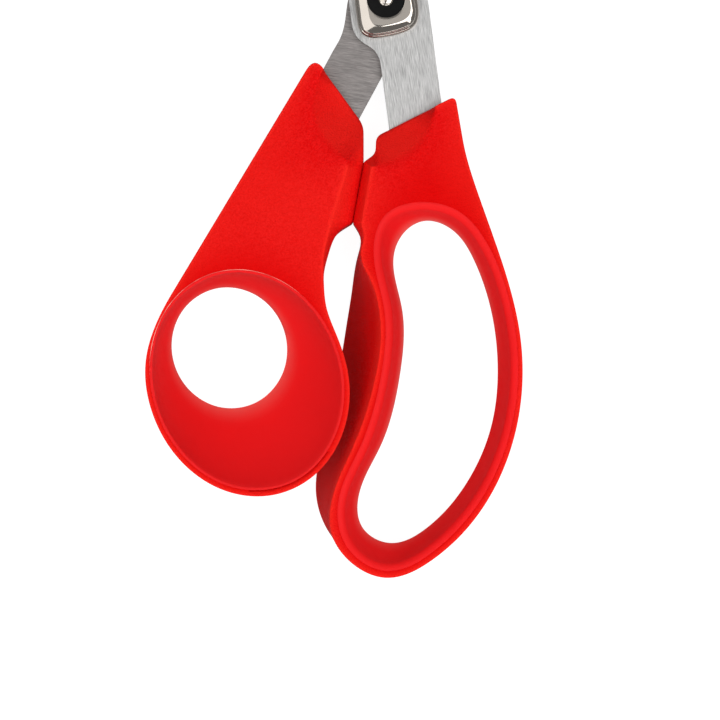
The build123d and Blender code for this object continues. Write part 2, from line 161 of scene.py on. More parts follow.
# the oval that stands in for the finger loop where painted shade darkens its plastic towards the
# gel
FINGER_GEL_EYE = dict(centre=(-3.0, -88.0), long_half=44.0, short_half=17.0, lean=-14.0)
FINGER_WAIST_DEPTH = 7.0
FINGER_REAR_GEL = 1.2      # thickness of the finger liner at the rear face
WAIST_FLARE = 1.5          # how much the thumb's hole grows from its waist to the rear face
GEL_GROOVE = 0.06          # how far the gel's outermost edge lies below the handle's face
GEL_LAND = 0.2             # width of the gel's flat margin, where it meets the hard plastic
LAND_SINK = 0.35           # share of the groove's depth left half way across that margin
LIP_TURN = radians(60)     # how far the gel's rounded lip turns before the wall goes on
LIP_SPAN = 0.999           # share of the lip's width that its rounding takes
LIP_STEPS = 8
WALL_STEPS = 18
FLARE_STEPS = 8
FLARE_START = 1.6          # how soon the flare behind the waist opens
PALE_LAND = 0.05           # how pale the painted glow of light through the gel makes it on its flat margin,
PALE_LIP = 0.02            # on its rounded lip, where nothing glows,
PALE_WAIST = 0.75          # at the front of its waist,
PALE_FLARE = 0.6           # behind the waist, over and above the rear,
PALE_REAR = 0.1            # and at the rear face
GLOW_FADE = 0.8            # share of the lip's glow that is gone where the wall starts

FLASH_TURNS = (196, 330)   # the part of the thumb gel's joint that carries flash, in degrees
FLASH_RADIUS = 0.045
FLASH_SINK = 0.02          # how far the flash's middle lies below the handle's face
FLASH_POINTS = 90
FLASH_TAPER = 12           # points over which each end of the flash thins out

COVER_EDGE = [
    (-7.2, 0.0), (-7.2, -2.8), (-7.1, -5.4), (-6.4, -7.2), (-4.9, -8.2), (-2.0, -8.6), (1.2, -8.4),
    (4.4, -7.7), (6.1, -6.6), (6.9, -5.1), (7.2, -3.4), (7.2, 0.0),
]
PLATEAU_SCALE = 0.72       # size of the cover's flat top, as a share of its foot,
PLATEAU_SHIFT = 0.6        # and how far it sits off the foot's centre
COVER_TIERS = [(0.0, 2.9), (0.3, 2.35), (0.6, 2.2), (0.75, 0.7)]      # inset, depth below the top
BOSS_TIERS = [(1.0, 0.55), (0.75, 0.2), (0.4, 0.05), (0.05, 0.0)]      # share of radius, depth
COVER_ROUNDING = [0, 0.3, 0.15, 0.15, 0.3, 0.4, 0.08, 0, 0, 0.2, 0.3, 0.3, 0]
DISC_RADIUS = 4.4
BOSS_RADIUS = 1.8

# ---- looks, and the stage in metres -----------------------------------------------------------

EDGE_BAND = 1.3            # width in millimetres of the painted highlight band on either side of an edge
MOUTH_HIGHLIGHT = 0.6         # how much of the edges' painted highlight colour the scooped mouths take
GEL_PALENESS = 0.7         # how much the painted glow of light through the gel pales its thin waist, on average over the loop
SPARKLE = 0.009            # how much whiter the high grains of the hard plastic are than its pits
# painted highlight: the near-white colour of the flash along the top of the thumb gel's joint
FLASH_PALE = (1.0, 0.62, 0.52)
ENAMEL_DARK = (0.002, 0.002, 0.002)
ENAMEL_PALE = (0.006, 0.006, 0.006)
REAR_STEEL_SHADE = (0.51, 0.475, 0.465)      # the rear blade's colour, as shares of the front one's: painted shade, the same steel darkened
REAR_GRIND = radians(105.5)            # direction of the rear blade's grinding lines
PLATED = 0.85              # brightness of the plated pivot hardware, as a share of the blades'

FLOOR_GAP = 0.0002
FLOOR_DARK = (0.20, 0.20, 0.20)
FLOOR_PALE = (0.23, 0.23, 0.23)
FLOOR_BOUNCE = 0.15        # how much the floor glows for the object,
FLOOR_GLOW = 0.95          # and how much it glows for the camera
WHITE = (1.0, 1.0, 1.0, 1.0)
WORLD_STRENGTH = 0.22
VIEW_CENTRE = (-0.0168, -0.0818)
SENSOR_WIDTH = 36.0        # the camera's, in millimetres
LIGHT_CENTRE = (-0.017, -0.08, 0.0)
LIGHTS = (                 # name, place, size, and power as a share of the key power
    ("key", (0.50, -0.33, 1.05), (0.9, 0.9), 0.94),
    ("fill", (-0.60, -0.05, 0.95), (1.0, 1.0), 0.44),
    ("side", (-0.70, -0.62, 0.55), (0.7, 0.5), 0.16),
    ("strip", (0.10, -0.75, 0.40), (0.6, 0.12), 0.06),
    ("top", (-0.02, 0.05, 1.7), (0.5, 0.5), 0.04),
)

# ---- how finely shapes are drawn --------------------------------------------------------------

SHARP_ANGLE = radians(50)  # faces that meet at more than this keep a sharp edge
HOME_STEPS = 40            # samples on every span of the curve that closes an outline
SIDE_STEPS = 14            # points along each straight side of an outline
ARC_STEPS = 8              # points round each rounded corner
CURVE_STEPS = 200          # points along the loop
SPAN_STEPS = 14            # points between two stations of a gel ring
COVER_STEPS = 24           # and of the cover's edge
RING_POINTS = 240          # points round each ring of the cover
ROUND_LIMIT = 0.45         # share of a short side that the rounding at one end may take
WELD = 0.004               # points closer than this become one,
SLIVER = 0.002             # and edges shorter than this go

# ---- curve and mesh tools ---------------------------------------------------------------------


def unit(v):
    v = np.asarray(v, float)
    return v / np.linalg.norm(v)


def spline(points, per_span, closed=False, leave=None, arrive=None):
    """A smooth curve through the points, with the same number of samples on every span."""
    p = np.array(points + points[:1] if closed else points, float)
    n = len(p)
    h = np.linalg.norm(np.diff(p, axis=0), axis=1)
    a = np.zeros((n, n))
    b = np.zeros((n, p.shape[1]))
    for i in range(1, n - 1):
        a[i, i - 1], a[i, i], a[i, i + 1] = h[i], 2 * (h[i - 1] + h[i]), h[i - 1]
        b[i] = 3 * (h[i] * (p[i] - p[i - 1]) / h[i - 1] + h[i - 1] * (p[i + 1] - p[i]) / h[i])
    if closed:
        a[0, 0], a[0, 1], a[0, n - 2] = 2 * (h[-1] + h[0]), h[-1], h[0]
        b[0] = 3 * (h[0] * (p[0] - p[-2]) / h[-1] + h[-1] * (p[1] - p[0]) / h[0])
        a[-1, 0], a[-1, -1] = 1, -1
    else:
        a[0, 0] = a[-1, -1] = 1
        b[0], b[-1] = unit(leave), unit(arrive)
    d = np.linalg.solve(a, b)
    out = []
    for i in range(n - 1):
        t = (np.arange(per_span) / per_span)[:, None]
        out.append(
            (2 * t**3 - 3 * t**2 + 1) * p[i] + (t**3 - 2 * t**2 + t) * h[i] * d[i]
            + (3 * t**2 - 2 * t**3) * p[i + 1] + (t**3 - t**2) * h[i] * d[i + 1]
        )
    if not closed:
        out.append(p[-1:])
    return np.concatenate(out)


def resample(path, count):
    """The path again, as count evenly spaced points with both ends kept."""
    s = np.concatenate([[0], np.cumsum(np.linalg.norm(np.diff(path, axis=0), axis=1))])
    want = np.linspace(0, s[-1], count)
    return np.stack([np.interp(want, s, path[:, k]) for k in range(path.shape[1])], axis=1)


def oval(centre, long_half, short_half, lean, turns):
    """Points of an ellipse whose long axis leans from -Y towards +X."""
    t = np.radians(np.asarray(turns, float))[:, None]
    long_dir = np.array([sin(radians(lean)), -cos(radians(lean))])
    short_dir = np.array([cos(radians(lean)), sin(radians(lean))])
    return np.array(centre) + short_half * np.cos(t) * short_dir + long_half * np.sin(t) * long_dir


def oval_ring(sizes, growth=0.0):
    """A closed ellipse with the gel rings' spacing."""
    grown = dict(sizes)
    for half in ("long_half", "short_half"):
        grown[half] += growth
    keys = [tuple(q) for q in oval(turns=RING_TURNS, **grown)]
    return spline(keys, SPAN_STEPS * 2, closed=True)


def closed_ring(keys):
    """A closed smooth curve through a finger ring's stations."""
    return spline(keys, SPAN_STEPS, closed=True)


def outline(corners, radii, curve):
    """A closed outline: straight sides with rounded corners, then one smooth curve home."""
    c = [np.array(q, float) for q in corners]
    leave, arrive = np.array(curve[0]) - c[-1], c[1] - c[0]
    keys = [tuple(c[-1])] + list(curve) + [tuple(c[0])]
    loop = spline(keys, HOME_STEPS, leave=leave, arrive=arrive)
    pieces = []
    start = c[0]
    for i in range(1, len(c)):
        u = unit(c[i - 1] - c[i])
        v = unit(c[i + 1] - c[i]) if i + 1 < len(c) else unit(leave)
        half = np.arccos(np.clip(u @ v, -1, 1)) / 2
        cut = radii[i] / np.tan(half)
        first, last = c[i] + u * cut, c[i] + v * cut
        side = np.linspace(0, 1, SIDE_STEPS, endpoint=False)[:, None]
        pieces.append(start + (first - start) * side)
        t = np.linspace(0, 1, ARC_STEPS, endpoint=False)[:, None]
        pieces.append((1 - t) ** 2 * first + 2 * t * (1 - t) * c[i] + t**2 * last)
        start = last
    length = np.cumsum(np.linalg.norm(np.diff(loop, axis=0), axis=1))
    loop = loop[1:][length > np.linalg.norm(start - c[-1])]
    pieces.append(resample(np.vstack([start, loop]), CURVE_STEPS)[:-1])
    return np.vstack(pieces)


def inward(ring, amount):
    """A closed ring moved sideways into itself."""
    run = np.roll(ring, -1, axis=0) - np.roll(ring, 1, axis=0)
    side = np.stack([run[:, 1], -run[:, 0]], axis=1)
    side /= np.linalg.norm(side, axis=1)[:, None]
    area = np.sum(ring[:, 0] * np.roll(ring[:, 1], -1) - np.roll(ring[:, 0], -1) * ring[:, 1])
    return ring + side * (-amount if area > 0 else amount)


def lift(ring, z):
    """Flat points given a height, which may differ from point to point."""
    return np.column_stack([ring, np.broadcast_to(z, len(ring))])


def soften(rails, reaches, steps=4):
    """Rounds the inner rails of a stack. reaches holds how far each rounding runs, as a number or
    one number a station; 0 leaves the rail as it is."""
    out = [rails[0]]
    for i in range(1, len(rails) - 1):
        here, before, after = rails[i], rails[i - 1], rails[i + 1]
        reach = np.broadcast_to(np.asarray(reaches[i], float), len(here))
        if reach.max() <= 0:
            out.append(here)
            continue
        back = before - here
        on = after - here
        len_back = np.linalg.norm(back, axis=1)
        len_on = np.linalg.norm(on, axis=1)
        d = np.minimum(reach, ROUND_LIMIT * np.minimum(len_back, len_on))[:, None]
        a = here + back / np.maximum(len_back, 1e-9)[:, None] * d
        b = here + on / np.maximum(len_on, 1e-9)[:, None] * d
        for t in np.linspace(0, 1, steps + 1):
            out.append((1 - t) ** 2 * a + 2 * t * (1 - t) * here + t**2 * b)
    out.append(rails[-1])
    return out


def tree_of(points):
    """A search tree for the nearest of the points."""
    tree = KDTree(len(points))
    for i, q in enumerate(points):
        tree.insert(q, i)
    tree.balance()
    return tree


def edge_share(points, edges, reach):
    """For every point, 1 on the given edge rings and 0 further off than the reach."""
    tree = tree_of(np.concatenate(edges))
    return [max(0.0, 1.0 - tree.find(q)[2] / reach) for q in points]


def nearest_values(points, known, values):
    """Values carried over from known points to the mesh's own, which may be fewer."""
    tree = tree_of(known)
    return [values[tree.find(q)[1]] for q in points]


def ring_faces(first, second):
    """One band of four-sided faces between two rings of the same length."""
    count = len(first)
    return [(first[i], first[(i + 1) % count], second[(i + 1) % count], second[i])
            for i in range(count)]


def skin(name, rails, wrap=True, caps=(), tube=None):
    """A mesh from a stack of closed rails. wrap joins the last rail to the first; caps closes an
    end rail (0 or -1) with one face. tube is an inner wall's first and last ring: the flat
    gaps between the end rails and these rings are filled in."""
    bm = bmesh.new()
    rings = [[bm.verts.new(co) for co in (rail * MM).tolist()] for rail in rails]
    bands = list(zip(rings, rings[1:]))
    if wrap:
        bands.append((rings[-1], rings[0]))
    if tube is not None:
        inner = [[bm.verts.new(co) for co in (ring * MM).tolist()] for ring in tube]
        bands.append(tuple(inner))
    for first, second in bands:
        for corners in ring_faces(first, second):
            bm.faces.new(corners)
    for end in caps:
        bm.faces.new(rings[end])
    bmesh.ops.remove_doubles(bm, verts=bm.verts, dist=WELD * MM)
    bmesh.ops.dissolve_degenerate(bm, dist=SLIVER * MM, edges=bm.edges)
    if tube is not None:
        for z in (tube[0][0, 2], tube[1][0, 2]):
            rim = [e for e in bm.edges if len(e.link_faces) == 1 and on_level(e, z)]
            bmesh.ops.triangle_fill(bm, use_beauty=True, edges=rim, normal=(0, 0, 1))
    bmesh.ops.recalc_face_normals(bm, faces=bm.faces)
    for face in bm.faces:
        face.smooth = True
    for edge in bm.edges:
        edge.smooth = edge.calc_face_angle(0.0) < SHARP_ANGLE
    mesh = bpy.data.meshes.new(name)
    bm.to_mesh(mesh)
    bm.free()
    obj = bpy.data.objects.new(name, mesh)
    bpy.context.scene.collection.objects.link(obj)
    return obj


def on_level(edge, z):
    return all(abs(v.co.z - z * MM) < 0.01 * MM for v in edge.verts)


def weigh_normals(obj):
    """Flat faces keep their own shading next to small roundings."""
    weigh = obj.modifiers.new("flat_faces", "WEIGHTED_NORMAL")
    weigh.weight = 100
    weigh.keep_sharp = True


def point_value(obj, name, values):
    """Stores one number a point, for a material to read."""
    layer = obj.data.attributes.new(name, "FLOAT", "POINT")
    layer.data.foreach_set("value", np.asarray(values, np.float32))


def points_of(obj):
    co = np.zeros(len(obj.data.vertices) * 3)
    obj.data.vertices.foreach_get("co", co)
    return co.reshape(-1, 3) / MM


# ---- node tools -------------------------------------------------------------------------------


def new_material(name):
    mat = bpy.data.materials.new(name)
    mat.use_nodes = True
    mat.node_tree.nodes.clear()
    out = mat.node_tree.nodes.new("ShaderNodeOutputMaterial")
    shader = mat.node_tree.nodes.new("ShaderNodeBsdfPrincipled")
    mat.node_tree.links.new(shader.outputs["BSDF"], out.inputs["Surface"])
    return mat, mat.node_tree, shader


def add(tree, kind, values=(), **settings):
    node = tree.nodes.new(kind)
    for key, value in settings.items():
        setattr(node, key, value)
    for key, value in dict(values).items():
        node.inputs[key].default_value = value
    return node


def wear_group():
    """Moulded or ground surface: a fine grain and a slow unevenness, as masks and a height."""
    name = "fine_grain"
    if name in bpy.data.node_groups:
        return bpy.data.node_groups[name]
    group = bpy.data.node_groups.new(name, "ShaderNodeTree")
    face = group.interface
    defaults = {"Grain Scale": 2600.0, "Patch Scale": 60.0, "Stretch": 1.0, "Turn": 0.0}
    for label, default in defaults.items():
        socket = face.new_socket(name=label, in_out="INPUT", socket_type="NodeSocketFloat")
        socket.default_value = default
    for label in ("Grain", "Patch", "Height"):
        face.new_socket(name=label, in_out="OUTPUT", socket_type="NodeSocketFloat")
    inp = add(group, "NodeGroupInput")
    out = add(group, "NodeGroupOutput")
    coords = add(group, "ShaderNodeTexCoord")
    turn = add(group, "ShaderNodeVectorRotate", {"Axis": (0, 0, 1)}, rotation_type="AXIS_ANGLE")
    squeeze = add(group, "ShaderNodeCombineXYZ", {"X": 1.0, "Z": 1.0})
    scaled = add(group, "ShaderNodeVectorMath", operation="MULTIPLY")
    grain = add(group, "ShaderNodeTexNoise", {"Detail": 3.0, "Roughness": 0.65})
    patch = add(group, "ShaderNodeTexNoise", {"Detail": 2.0, "Roughness": 0.5})
    link = group.links.new
    link(coords.outputs["Object"], turn.inputs["Vector"])
    link(inp.outputs["Turn"], turn.inputs["Angle"])
    link(inp.outputs["Stretch"], squeeze.inputs["Y"])
    link(turn.outputs["Vector"], scaled.inputs[0])
    link(squeeze.outputs["Vector"], scaled.inputs[1])
    link(scaled.outputs["Vector"], grain.inputs["Vector"])
    link(coords.outputs["Object"], patch.inputs["Vector"])
    link(inp.outputs["Grain Scale"], grain.inputs["Scale"])
    link(inp.outputs["Patch Scale"], patch.inputs["Scale"])
    link(grain.outputs["Fac"], out.inputs["Grain"])
    link(patch.outputs["Fac"], out.inputs["Patch"])
    link(grain.outputs["Fac"], out.inputs["Height"])
    return group


def place_grain(tree, grain_scale, patch_scale, stretch=1.0, turn=0.0):
    node = add(tree, "ShaderNodeGroup", node_tree=wear_group())
    node.inputs["Grain Scale"].default_value = grain_scale
    node.inputs["Patch Scale"].default_value = patch_scale
    node.inputs["Stretch"].default_value = stretch
    node.inputs["Turn"].default_value = turn
    return node


def mixed(tree, factor, a, b, kind="MIX"):
    """A colour mixed from a to b by a socket. a may be a colour or another socket."""
    node = add(tree, "ShaderNodeMix", data_type="RGBA", blend_type=kind)
    tree.links.new(factor, node.inputs[0])
    for socket, value in ((node.inputs[6], a), (node.inputs[7], b)):
        if hasattr(value, "links"):
            tree.links.new(value, socket)
        else:
            socket.default_value = (*value[:3], 1.0)
    return node.outputs[2]


def ranged(tree, value, low, high, to_low, to_high):
    node = add(tree, "ShaderNodeMapRange",
               {"From Min": low, "From Max": high, "To Min": to_low, "To Max": to_high})
    tree.links.new(value, node.inputs["Value"])
    return node.outputs["Result"]


def oval_distance(tree, eye):
    """How far out a point lies from an oval's centre, as a multiple of the oval's own radius."""
    coords = add(tree, "ShaderNodeTexCoord")
    x, y = (q * MM for q in eye["centre"])
    shift = add(tree, "ShaderNodeVectorMath", {1: (-x, -y, 0.0)}, operation="ADD")
    turn = add(tree, "ShaderNodeVectorRotate",
               {"Axis": (0, 0, 1), "Angle": -radians(eye["lean"])}, rotation_type="AXIS_ANGLE")
    across, along = 1 / (eye["short_half"] * MM), 1 / (eye["long_half"] * MM)
    scale = add(tree, "ShaderNodeVectorMath", {1: (across, along, 0.0)}, operation="MULTIPLY")
    length = add(tree, "ShaderNodeVectorMath", operation="LENGTH")
    tree.links.new(coords.outputs["Object"], shift.inputs[0])
    tree.links.new(shift.outputs["Vector"], turn.inputs["Vector"])
    tree.links.new(turn.outputs["Vector"], scale.inputs[0])
    tree.links.new(scale.outputs["Vector"], length.inputs[0])
    return length.outputs["Value"]


def bumped(tree, shader, height, strength, distance):
    node = add(tree, "ShaderNodeBump", {"Strength": strength, "Distance": distance})
    tree.links.new(height, node.inputs["Height"])
    tree.links.new(node.outputs["Normal"], shader.inputs["Normal"])


def shade(colour, factor):
    return tuple(min(1.0, c * factor) for c in colour[:3])


# ---- finishes ---------------------------------------------------------------------------------


def shell_plastic(looks, name, eye):
    """Hard moulded plastic with a fine spark-eroded texture, with painted highlights along its
    edges and over its scooped mouth, and painted shade darkening it a little towards the eye, the
    oval that its gel fills."""
    mat, tree, shader = new_material(name)
    grain = place_grain(tree, 2600.0, 45.0)
    red = tuple(looks.shell_red)
    speck = ranged(tree, grain.outputs["Grain"], 0.38, 0.62, 0.0, 1.0)
    high = (red[0] * 1.05, red[1] + SPARKLE, red[2] + SPARKLE)
    tone = mixed(tree, speck, shade(red, 0.90), high)
    slow = ranged(tree, grain.outputs["Patch"], 0.35, 0.65, 0.0, 0.30)
    tone = mixed(tree, slow, tone, shade(red, 0.92))
    # painted shade: the plastic darkens towards the gel, standing in for a dip of the face there
    near = ranged(tree, oval_distance(tree, eye), 1.0, 1.32, 1.0, 0.0)
    tone = mixed(tree, near, tone, shade(red, 0.92))
    # painted highlight: the plastic is made lighter along its rounded edges and over its scooped
    # mouths
    highlight_attr = add(tree, "ShaderNodeAttribute", attribute_name="worn_edge")
    share = ranged(tree, highlight_attr.outputs["Fac"], 0.0, 1.0, 0.0, 0.9)
    tone = mixed(tree, share, tone, tuple(looks.shell_highlight))
    tree.links.new(tone, shader.inputs["Base Color"])
    rough = ranged(tree, grain.outputs["Grain"], 0.3, 0.7, 0.42, 0.56)
    tree.links.new(rough, shader.inputs["Roughness"])
    shader.inputs["IOR"].default_value = 1.45
    shader.inputs["Specular IOR Level"].default_value = 0.05
    bumped(tree, shader, grain.outputs["Height"], 0.8, 0.0004)
    return mat


def gel_rubber(looks):
    """Soft gel: smooth, dull and a little translucent, with a painted glow of light through it that
    makes its thin edges look paler.
    """
    mat, tree, shader = new_material("gel_rubber")
    grain = place_grain(tree, 700.0, 30.0)
    red = tuple(looks.gel_red)
    pale = tuple(looks.gel_edge)
    slow = ranged(tree, grain.outputs["Patch"], 0.35, 0.65, 0.0, 1.0)
    tone = mixed(tree, slow, shade(red, 0.97), shade(red, 1.03))
    # painted light: the gel pales towards the glow colour where light would come through its thin
    # parts
    thin = add(tree, "ShaderNodeAttribute", attribute_name="thin_edge")
    tone = mixed(tree, thin.outputs["Fac"], tone, pale)
    tree.links.new(tone, shader.inputs["Base Color"])
    rough = ranged(tree, grain.outputs["Grain"], 0.3, 0.7, 0.50, 0.60)
    tree.links.new(rough, shader.inputs["Roughness"])
    shader.inputs["Specular IOR Level"].default_value = 0.07
    shader.inputs["Subsurface Weight"].default_value = 0.15
    shader.inputs["Subsurface Radius"].default_value = (1.0, 0.25, 0.2)
    shader.inputs["Subsurface Scale"].default_value = 0.002
    bumped(tree, shader, grain.outputs["Height"], 0.08, 0.0001)
    return mat


def brushed_steel(name, tint, turn, stretch=0.05, grain_scale=6500.0, spread=0.42, rough=0.36):
    """Ground steel whose fine lines run along one direction in the blade's plane."""
    mat, tree, shader = new_material(name)
    grain = place_grain(tree, grain_scale, 70.0, stretch=stretch, turn=turn)
    lines = ranged(tree, grain.outputs["Grain"], 0.3, 0.7, 0.0, 1.0)
    tone = mixed(tree, lines, shade(tint, 1.0 - spread), shade(tint, 1.0 + spread))
    slow = ranged(tree, grain.outputs["Patch"], 0.3, 0.7, 0.0, 0.3)
    tone = mixed(tree, slow, tone, shade(tint, 0.93))
    tree.links.new(tone, shader.inputs["Base Color"])
    shader.inputs["Metallic"].default_value = 1.0
    roughness = ranged(tree, grain.outputs["Grain"], 0.3, 0.7, rough - 0.05, rough + 0.09)
    tree.links.new(roughness, shader.inputs["Roughness"])
    bumped(tree, shader, grain.outputs["Height"], 0.2, 0.00001)
    return mat


def bright_chrome(looks):
    mat, tree, shader = new_material("bright_chrome")
    grain = place_grain(tree, 900.0, 120.0)
    tint = tuple(looks.chrome_tint)
    slow = ranged(tree, grain.outputs["Patch"], 0.35, 0.65, 0.0, 1.0)
    tree.links.new(mixed(tree, slow, tint, shade(tint, 0.94)), shader.inputs["Base Color"])
    shader.inputs["Metallic"].default_value = 1.0
    rough = ranged(tree, grain.outputs["Grain"], 0.3, 0.7, 0.05, 0.11)
    tree.links.new(rough, shader.inputs["Roughness"])
    bumped(tree, shader, grain.outputs["Patch"], 0.06, 0.0003)
    return mat


def black_enamel():
    mat, tree, shader = new_material("black_enamel")
    shader.inputs["Specular IOR Level"].default_value = 0.08
    grain = place_grain(tree, 1500.0, 150.0)
    slow = ranged(tree, grain.outputs["Patch"], 0.35, 0.65, 0.0, 1.0)
    tone = mixed(tree, slow, ENAMEL_DARK, ENAMEL_PALE)
    tree.links.new(tone, shader.inputs["Base Color"])
    rough = ranged(tree, grain.outputs["Grain"], 0.3, 0.7, 0.40, 0.55)
    tree.links.new(rough, shader.inputs["Roughness"])
    bumped(tree, shader, grain.outputs["Height"], 0.1, 0.00005)
    return mat


def gel_flash(looks):
    """The thin skin of gel that squeezed out along the joint in the mould, coloured near-white as a
    painted highlight along that joint.
    """
    mat, tree, shader = new_material("gel_flash")
    grain = place_grain(tree, 1200.0, 160.0)
    pale = tuple(looks.gel_edge)
    slow = ranged(tree, grain.outputs["Patch"], 0.4, 0.6, 0.0, 1.0)
    tone = mixed(tree, slow, shade(pale, 0.8), FLASH_PALE)
    tree.links.new(tone, shader.inputs["Base Color"])
    shader.inputs["Roughness"].default_value = 0.4
    bumped(tree, shader, grain.outputs["Height"], 0.1, 0.00005)
    return mat


def paint(obj, mat):
    obj.data.materials.clear()
    obj.data.materials.append(mat)


# ---- handles ----------------------------------------------------------------------------------


def scoop_height(ring, z_skin, z_lip):
    """Height of the mouth's cone over each point of a ring."""
    r = np.linalg.norm(ring - np.array(MOUTH_CENTRE), axis=1)
    return z_skin + (MOUTH_RIM - r) * (z_lip - z_skin) / (MOUTH_RIM - MOUTH_LIP)


def out_to_rim(ring):
    """Points inside the mouth's scoop, pushed out to its rim."""
    away = ring - np.array(MOUTH_CENTRE)
    r = np.linalg.norm(away, axis=1)
    return np.array(MOUTH_CENTRE) + away * np.maximum(1.0, MOUTH_RIM / r)[:, None]


def in_scoop(ring):
    """1 where a ring's point lies well inside the mouth's scoop, 0 outside it."""
    r = np.linalg.norm(ring - np.array(MOUTH_CENTRE), axis=1)
    return np.clip((MOUTH_RIM - r) / SCOOP_BLEND, 0, 1)


def shelf(ring, boundary, reach):
    """A ring moved inwards by reach, but kept from crossing itself or nearing the boundary."""
    move = inward(ring, 1.0) - ring
    to_others = ring[None, :, :] - ring[:, None, :]
    ahead = np.einsum("ijk,ik->ij", to_others, move)
    size = np.sum(to_others**2, axis=2)
    free = np.where(ahead > 1e-4, size / np.maximum(2 * ahead, 1e-9), 1e9).min(axis=1)
    room = np.linalg.norm(ring[:, None, :] - boundary[None, :, :], axis=2).min(axis=1)
    limit = np.minimum(free * SHELF_FREE, room * SHELF_ROOM)
    for _ in range(SHELF_PASSES):
        limit = np.minimum(limit, (np.roll(limit, 1) + np.roll(limit, -1)) / 2 + SHELF_EASE)
    return ring + move * np.minimum(reach, limit)[:, None]


def stop_points(side):
    shift = np.array(STOP_SIDE) * side * STOP_GAP / 2
    return tuple(np.array(STOP_TOP) + shift), tuple(np.array(STOP_FOOT) + shift)


def handle_mesh(name, face, shoulder, rear, gel_front, gel_rear, lip, sizes):
    """One hard handle: front face, scooped mouth, bevel, slanted wall, rear face and inner wall."""
    z_shoulder = Z_FRONT - SHOULDER_DROP
    crease = out_to_rim(face)
    z_low = np.minimum(z_shoulder, scoop_height(shoulder, Z_FRONT, lip))
    back_wall = shoulder + (rear - shoulder) * BACK_EDGE
    rear_cone = scoop_height(back_wall, Z_REAR, Z_REAR_BLADE - MOUTH_COVER)
    z_back = np.maximum(z_shoulder + (Z_REAR - z_shoulder) * BACK_EDGE, rear_cone)
    rear_crease = out_to_rim(rear)
    mouth = in_scoop(shoulder)
    edge, soft = sizes.edge_soft / MM, sizes.crease_soft / MM
    room = SHELF_EDGE * edge + mouth * SHELF_MOUTH * soft
    stack = [
        lift(shelf(crease, gel_front, room), Z_FRONT),
        lift(crease, Z_FRONT),
        lift(shoulder, z_low),
        lift(back_wall, z_back),
        lift(rear_crease, Z_REAR),
        lift(shelf(rear_crease, gel_rear, room), Z_REAR),
    ]
    crease_reach = edge + mouth * (soft - edge)
    lip_reach = edge + mouth * (sizes.lip_soft / MM - edge)
    rails = soften(stack, [0, crease_reach, lip_reach, lip_reach, crease_reach, 0], steps=5)
    obj = skin(name, rails, wrap=False, tube=(lift(gel_front, Z_FRONT), lift(gel_rear, Z_REAR)))
    weigh_normals(obj)
    # painted highlight: the rounded edges of the face and rear, and the mouth's lip, get a lighter
    # colour
    bright = [stack[1][mouth < 0.5], stack[2][mouth > 0.5], stack[4][mouth < 0.5]]
    points = points_of(obj)
    highlit = edge_share(points, bright, EDGE_BAND)
    # painted highlight: the scooped mouth is lightened, more so deeper inside it
    mouth_highlight_share = MOUTH_HIGHLIGHT * in_scoop(points[:, :2])
    point_value(obj, "worn_edge", np.maximum(highlit, mouth_highlight_share))
    return obj


def thumb_outlines():
    stops = list(stop_points(-1))
    front_curve = THUMB_CURVE + [tuple(q) for q in oval(turns=LOOP_TURNS, **THUMB_OVAL)]
    rear_curve = THUMB_REAR_CURVE + [tuple(q) for q in oval(turns=LOOP_TURNS, **THUMB_REAR_OVAL)]
    face_curve = THUMB_FACE_START + front_curve[2:]
    front = outline(THUMB_CORNERS + stops, THUMB_RADII, front_curve)
    rear = outline(THUMB_REAR_CORNERS + stops, THUMB_RADII, rear_curve)
    face = outline(THUMB_FACE_CORNERS, THUMB_RADII, face_curve)
    return face, front + (rear - front) * (SHOULDER_DROP / THICK), rear


def finger_outlines():
    stops = list(stop_points(1))
    side = np.array(STOP_SIDE)
    front = outline(FINGER_CORNERS + stops, FINGER_RADII, FINGER_FRONT)
    rear = outline(FINGER_REAR_CORNERS + stops, FINGER_RADII, FINGER_REAR)
    bevelled = [tuple(np.array(q) + side * back) for q, back in zip(stops, STOP_BEVELS)]
    face_curve = [FINGER_FACE_START] + FINGER_FRONT[1:]
    face = outline(FINGER_FACE_CORNERS + bevelled, FINGER_RADII, face_curve)
    return face, front + (rear - front) * (SHOULDER_DROP / THICK), rear


# ---- gel liners -------------------------------------------------------------------------------


